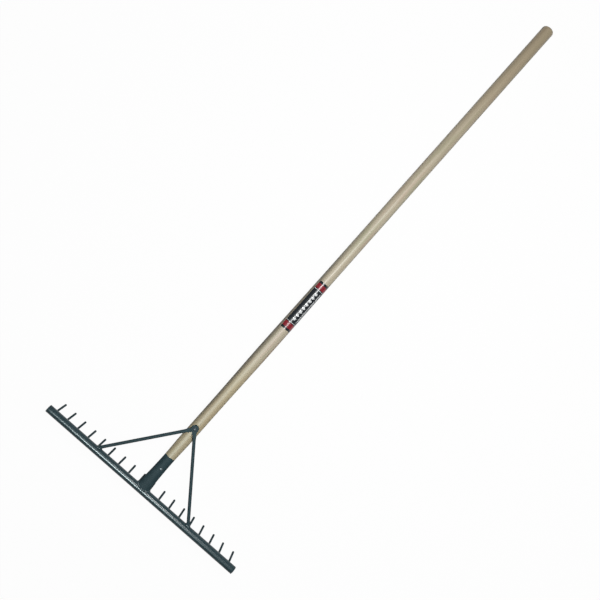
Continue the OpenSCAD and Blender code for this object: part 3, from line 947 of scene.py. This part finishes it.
class RAKE_OT_tines(bpy.types.Operator):
    """Set the row of tines"""

    bl_idname = "rake.tines"
    bl_label = "Tines"

    def execute(self, context):
        sizes = context.scene.rake_head
        sides = 32
        round_tip = sizes.tine_tip
        profile = [(TINE_R, TINE_TOP), (TINE_R, TUBE_R), (TINE_R, (TUBE_R + TINE_TIP) / 2)]
        profile += arc((TINE_R - round_tip, TINE_TIP - round_tip), round_tip, 0, 90, steps=6)
        tine = solid(lathe(profile, sides, TINE_WAY, (1, 0, 0)))
        tine.transform(Matrix.Translation(-LAY.translation))
        values = {
            "Count": len(TINE_XS),
            "Start": LAY @ (HEAD_WAY * TINE_XS[0]),
            "Step": HEAD_WAY * ((TINE_XS[-1] - TINE_XS[0]) / (len(TINE_XS) - 1)),
            "Sway": sizes.tine_sway,
            "Seed": sizes.tine_seed,
        }
        row = grow(tine, tine_row_tree(), values)
        place_piece("tine_row", row, enamel("satin_enamel"), "head_enamel", *TINE_NODES)
        return {"FINISHED"}


class RAKE_OT_socket(bpy.types.Operator):
    """Press the socket from a round mouth to an oval foot cut to the tube"""

    bl_idname = "rake.socket"
    bl_label = "Socket"

    def execute(self, context):
        sizes = context.scene.rake_head
        sides = 120
        lip = sizes.socket_lip
        wall = sizes.socket_wall
        climb = np.linspace(0, 1, 36)
        lip_arc = arc((lip, 0.0), lip, 165, 90, steps=5)
        stations = [(0.0, t, 0.0) for t in climb]
        stations += [(inset, 1.0, rise) for inset, rise in lip_arc]
        stations += [(wall - inset, 1.0, rise) for inset, rise in reversed(lip_arc)]
        stations += [(wall, t, 0.0) for t in reversed(climb)]
        rings = []
        for inset, t, rise in stations:
            ring = []
            for angle in round_angles(sides):
                foot = socket_seam(sizes, angle, inset)
                y = foot + (MOUTH - lip - foot) * t + rise
                ring.append(socket_point(sizes, y, angle, inset))
            rings.append(ring)
        mesh = solid(rings, wrap=True)
        place_piece("handle_socket", mesh, enamel("satin_enamel"), "head_enamel", "socket")
        return {"FINISHED"}


class RAKE_OT_stays(bpy.types.Operator):
    """Forge the two stays, round rods with flattened eyes"""

    bl_idname = "rake.stays"
    bl_label = "Stays"

    def execute(self, context):
        for side, name in ((-1, "stay_left"), (1, "stay_right")):
            mesh = self.forge(context.scene.rake_head, side)
            place_piece(name + "_rod", mesh, enamel("satin_enamel"), "head_enamel", name)
        return {"FINISHED"}

    def forge(self, sizes, side):
        """One stay, swept from the far edge of its eye to its foot on the tube."""
        angles = round_angles(48)
        eye_turn = np.linspace(0.06, 0.80, 30) * math.pi
        blend_steps = np.linspace(0, 1, 16)[1:]
        rod_steps = (0.06, 0.3, 0.6, 0.9)
        flat_power = 5.0
        round_power = 2.0
        eye, foot, flat, start = stay_rod(sizes, side)
        eye_r = sizes.eye_diameter / 2
        rod_r = sizes.stay_diameter / 2
        thick = sizes.eye_thickness / 2
        tab = sizes.tab_width / 2
        tab_end = eye_r + sizes.tab_length
        way = (start - foot).normalized()
        across = flat.cross(FACE_UP)
        rod_across = -way.cross(FACE_UP).normalized()
        rod_up = way.cross(rod_across)

        def ring(centre, right, up, width, height, power):
            shape = []
            for a in angles:
                c = math.copysign(abs(math.cos(a)) ** (2 / power), math.cos(a))
                s = math.copysign(abs(math.sin(a)) ** (2 / power), math.sin(a))
                shape.append(centre + right * (width * c) + up * (height * s))
            return shape

        rings = []
        for s in eye_r * -np.cos(eye_turn):
            width = max(math.sqrt(max(eye_r**2 - s**2, 0.0)), tab if s > 0 else 0.0)
            rings.append(ring(eye + flat * s, across, FACE_UP, width, thick, flat_power))
        last = eye_r * -math.cos(eye_turn[-1])
        for t in blend_steps:
            s = last + (tab_end + sizes.tab_blend - last) * t
            press = max(0.0, (s - tab_end) / sizes.tab_blend)
            press = press * press * (3 - 2 * press)
            width = tab + (rod_r - tab) * press
            height = thick + (rod_r - thick) * press
            middle = eye + flat * s - FACE_UP * (sizes.rod_drop * press)
            power = flat_power + (round_power - flat_power) * press
            rings.append(ring(middle, across, FACE_UP, width, height, power))
        for t in rod_steps:
            rings.append(ring(start.lerp(foot, t), rod_across, rod_up, rod_r, rod_r, round_power))
        saddle = ring(foot, rod_across, rod_up, rod_r, rod_r, round_power)
        rings.append([leave_tube(inside, way) for inside in saddle])
        return solid(rings)


class RAKE_OT_welds(bpy.types.Operator):
    """Lay the weld beads and the spatter beside the socket"""

    bl_idname = "rake.welds"
    bl_label = "Welds"

    def execute(self, context):
        sizes = context.scene.rake_head
        gloss = enamel("gloss_enamel")
        tree = weld_bead_tree()
        beads = (
            ("tine_beads", "tine_welds", [tine_bead(sizes, x) for x in TINE_XS]),
            ("socket_bead", "socket_weld", [socket_bead(sizes)]),
            ("stay_bead_left", "stay_weld_left", [stay_bead(sizes, -1)]),
            ("stay_bead_right", "stay_weld_right", [stay_bead(sizes, 1)]),
        )
        values = {"Ripple Pitch": sizes.ripple_pitch, "Ripple Depth": sizes.ripple_depth}
        for name, node, runs in beads:
            bead = grow(bead_mesh(runs), tree, values)
            place_piece(name, bead, gloss, "head_enamel", node)
        values = {"Size": sizes.spatter_size, "Density": 26000.0, "Seed": sizes.spatter_seed}
        drops = grow(self.patch(), spatter_tree(), values)
        place_piece("weld_spatter", drops, gloss, "head_enamel")
        return {"FINISHED"}

    def patch(self):
        """The stretch of the tube's top that catches spatter from the socket's weld."""
        half = 27 * MM
        lowest, highest = 35, 120
        columns = np.linspace(-half, half, 12)
        rows = np.radians(np.linspace(lowest, highest, 10))
        points = [(x, TUBE_R * math.cos(a), TUBE_R * math.sin(a)) for a in rows for x in columns]
        faces = [(a, d, c, b) for a, b, c, d in grid_faces(len(rows), len(columns))]
        return mesh_from(points, faces)


class RAKE_OT_fasteners(bpy.types.Operator):
    """Set the stay bolt with its washer and nut, and finish the socket's rivet"""

    bl_idname = "rake.fasteners"
    bl_label = "Fasteners"

    def execute(self, context):
        sizes = context.scene.rake_handle
        clearance = 0.1 * MM
        bore = sizes.bolt_diameter / 2 + clearance
        zinc = zinc_finish(context.scene.rake_colours)
        black = bolt_finish(context.scene.rake_colours)
        place_piece("bolt_body", self.bolt(sizes), black, "black_steel", "stay_bolt")
        place_piece("bolt_washer", self.washer(bore), zinc, "bright_steel", "stay_washer")
        place_piece("bolt_nut", self.nut(bore), zinc, "bright_steel", "stay_nut")
        dress(zinc, frame["nodes"]["socket_rivet"])
        return {"FINISHED"}

    def bolt(self, sizes):
        """Domed head, plain shank and a cut thread up to inside the nut."""
        sides = 60
        steps_per_pitch = 8
        lead_in = 0.9
        head_edge = 0.2 * MM
        crown_angle = 0.06
        dome_rings = 14
        pitch = sizes.thread_pitch
        shank = sizes.bolt_diameter / 2
        head = (BOLT_HIGH.x - BOLT_LOW.x) / 2
        under = BOLT_HIGH.z - sizes.bolt_head
        ball = (head**2 + sizes.bolt_head**2) / (2 * sizes.bolt_head)
        spread = math.asin(head / ball)
        lags = np.arange(sides) / sides
        rings = []
        for z in np.arange(BOLT_LOW.z, NUT_HIGH.z, pitch / steps_per_pitch):
            phase = (z / pitch - lags) % 1.0
            taper = min(1.0, (z - BOLT_LOW.z) / pitch)
            cut = np.maximum(np.abs(2 * phase - 1), lead_in - lead_in * taper)
            flat = circle(sides) * (shank - sizes.thread_depth * cut)[:, None]
            rings.append(np.column_stack([flat, np.full(sides, z)]) + np.array((0, BOLT_Y, 0)))
        profile = [(shank, NUT_HIGH.z), (shank, under), (head - head_edge, under)]
        for a in np.linspace(spread, crown_angle, dome_rings):
            profile.append((ball * math.sin(a), BOLT_HIGH.z - ball * (1 - math.cos(a))))
        rings += lathe(profile, sides, (0, 0, 1), (1, 0, 0), (0, BOLT_Y, 0))
        return solid(rings, crease=50.0)

    def washer(self, bore):
        """Flat stamped washer with soft upper edges."""
        sides = 72
        soft = 0.35 * MM
        burr = 0.1 * MM
        outer = (WASHER_HIGH.x - WASHER_LOW.x) / 2
        low = WASHER_LOW.z
        high = WASHER_HIGH.z
        profile = [(bore, low), (outer - burr, low)]
        profile += arc((outer - soft, high - soft), soft, 0, 90, steps=5)
        profile += arc((bore + soft, high - soft), soft, 90, 180, steps=5)
        return solid(lathe(profile, sides, (0, 0, 1), (1, 0, 0), (0, BOLT_Y, 0)), wrap=True)

    def nut(self, bore):
        """Hexagon nut with turned chamfers on both faces."""
        sides = 96
        face_share = 0.97
        slope = math.tan(math.radians(28))
        sixth = FULL_TURN / 6
        flats = (NUT_HIGH.y - NUT_LOW.y) / 2
        crown = flats * face_share
        angles = round_angles(sides)
        hexagon = flats / np.cos(angles % sixth - sixth / 2)
        drop = np.maximum(hexagon - crown, 0.0) * slope
        low = np.full(sides, NUT_LOW.z)
        high = np.full(sides, NUT_HIGH.z)
        loops = [
            (bore, high), (crown, high), (hexagon, high - drop),
            (hexagon, low + drop), (crown, low), (bore, low),
        ]
        rings = []
        for radius, z in loops:
            rings.append(np.column_stack([radius * np.cos(angles), BOLT_Y + radius * np.sin(angles), z]))
        return solid(rings, wrap=True, crease=25.0)


class RAKE_OT_stage(bpy.types.Operator):
    """Set the floor, the surroundings, the lamps and the camera"""

    bl_idname = "rake.stage"
    bl_label = "Stage"

    def execute(self, context):
        scene = context.scene
        stage = scene.rake_stage
        scene.view_settings.view_transform = "Standard"
        self.floor(scene)
        self.surroundings(scene)
        key = self.lamp("key_lamp", stage.key_lamp, stage.key_power)
        key.data.size = stage.key_width
        key.data.size_y = stage.key_length
        shine = self.lamp("shine_lamp", stage.shine_lamp, stage.shine_power)
        shine.data.size = stage.shine_length
        shine.data.size_y = stage.shine_width
        shine.data.color = stage.shine_colour
        shine.visible_diffuse = False
        self.camera(scene)
        return {"FINISHED"}

    def seen(self, graph):
        """1 for rays that come from the camera, straight or by way of a shiny or clear surface."""
        path = graph.node("ShaderNodeLightPath")
        shiny = graph.math("MAXIMUM", path.other("Is Glossy Ray"), path.other("Is Transmission Ray"))
        return graph.math("MAXIMUM", path, shiny)

    def floor(self, scene):
        """Pale floor that keeps a soft shadow."""
        white_share = 0.97
        half = scene.rake_stage.floor_span / 2
        mesh = bpy.data.meshes.new("floor")
        corners = [(-half, -half, 0.0), (half, -half, 0.0), (half, half, 0.0), (-half, half, 0.0)]
        mesh.from_pydata(corners, [], [(0, 1, 2, 3)])
        material = bpy.data.materials.new("pale_floor")
        material.use_nodes = True
        graph = Graph(material.node_tree)
        material.node_tree.nodes.clear()
        bounced = graph.node("ShaderNodeLightPath", None, None, "Is Diffuse Ray")
        pale = graph.blend(bounced, scene.rake_colours.floor, scene.rake_colours.floor_bounce)
        matte = graph.node("ShaderNodeBsdfDiffuse", None, {"Color": pale})
        glow = graph.node("ShaderNodeEmission", None, {"Color": (1.0, 1.0, 1.0), "Strength": 1.0})
        mix = {0: self.seen(graph) * white_share, 1: matte, 2: glow}
        shown = graph.node("ShaderNodeMixShader", None, mix)
        graph.node("ShaderNodeOutputMaterial", None, {"Surface": shown})
        mesh.materials.append(material)
        put("floor", mesh)

    def surroundings(self, scene):
        """White for the camera, dimmer overhead in reflections, and a soft fill, more from the right."""
        overhead = (0.16, 0.17, 0.18)
        dimming_span = (0.02, 0.25)
        stage = scene.rake_stage
        world = bpy.data.worlds.new("studio")
        world.use_nodes = True
        scene.world = world
        graph = Graph(world.node_tree)
        world.node_tree.nodes.clear()
        way = graph.node("ShaderNodeTexCoord", None, None, "Generated")
        sideways, _, height = graph.parts(way)
        dimmed = graph.ramp(height, *dimming_span) * (1 - graph.node("ShaderNodeLightPath"))
        sky = graph.blend(dimmed, (1.0, 1.0, 1.0), overhead)
        level = stage.fill_level * (1 + sideways * stage.fill_lean)
        fill = graph.node("ShaderNodeBackground", None, {"Color": (1.0, 1.0, 1.0), "Strength": level})
        back = graph.node("ShaderNodeBackground", None, {"Color": sky, "Strength": 1.0})
        shown = graph.node("ShaderNodeMixShader", None, {0: self.seen(graph), 1: fill, 2: back})
        graph.node("ShaderNodeOutputWorld", None, {"Surface": shown})

    def lamp(self, name, spot, power):
        """Soft lamp that shines straight down; size lies along the head, size_y along the handle."""
        data = bpy.data.lights.new(name, "AREA")
        data.shape = "ELLIPSE"
        data.energy = power
        lamp = put(name, data)
        lamp.location = spot
        return lamp

    def camera(self, scene):
        """Camera at the photograph's viewing angle."""
        stage = scene.rake_stage
        data = bpy.data.cameras.new("camera")
        data.lens = stage.camera_lens
        spot = Vector(stage.camera_place)
        ahead = (Vector(stage.camera_aim) - spot).normalized()
        top = Vector((-math.sin(stage.camera_turn), math.cos(stage.camera_turn), 0.0))
        right = ahead.cross(top).normalized()
        up = right.cross(ahead)
        pose = Matrix((right, up, -ahead)).transposed().to_4x4()
        scene.camera = put("camera", data)
        scene.camera.matrix_world = Matrix.Translation(spot) @ pose


class RAKE_PT_pieces(bpy.types.Panel):
    """Lists the pieces of the rake and the values that shape them"""

    bl_idname = "RAKE_PT_pieces"
    bl_label = "Landscape Rake"
    bl_space_type = "VIEW_3D"
    bl_region_type = "UI"
    bl_category = "Rake"

    def draw(self, context):
        for operator in OPERATORS:
            self.layout.operator(operator.bl_idname)
        for group, holder in GROUPS.items():
            values = getattr(context.scene, group)
            box = self.layout.box()
            for name in holder.__annotations__:
                box.prop(values, name)


OPERATORS = (
    RAKE_OT_handle,
    RAKE_OT_label,
    RAKE_OT_cross_tube,
    RAKE_OT_tines,
    RAKE_OT_socket,
    RAKE_OT_stays,
    RAKE_OT_welds,
    RAKE_OT_fasteners,
    RAKE_OT_stage,
)
GROUPS = {
    "rake_head": RakeHeadSizes,
    "rake_handle": RakeHandleSizes,
    "rake_colours": RakeColours,
    "rake_stage": RakeStageSizes,
}


def register():
    """Registers the groups of values, the operators and the panel."""
    for name, group in GROUPS.items():
        bpy.utils.register_class(group)
        setattr(bpy.types.Scene, name, PointerProperty(type=group))
    for item in (*OPERATORS, RAKE_PT_pieces):
        bpy.utils.register_class(item)


def unregister():
    """Takes everything out again."""
    for item in (RAKE_PT_pieces, *reversed(OPERATORS)):
        bpy.utils.unregister_class(item)
    for name, group in GROUPS.items():
        delattr(bpy.types.Scene, name)
        bpy.utils.unregister_class(group)


def main():
    register()
    bpy.ops.rake.handle()
    bpy.ops.rake.label()
    bpy.ops.rake.cross_tube()
    bpy.ops.rake.tines()
    bpy.ops.rake.socket()
    bpy.ops.rake.stays()
    bpy.ops.rake.welds()
    bpy.ops.rake.fasteners()
    bpy.ops.rake.stage()


if __name__ == "__main__":
    main()
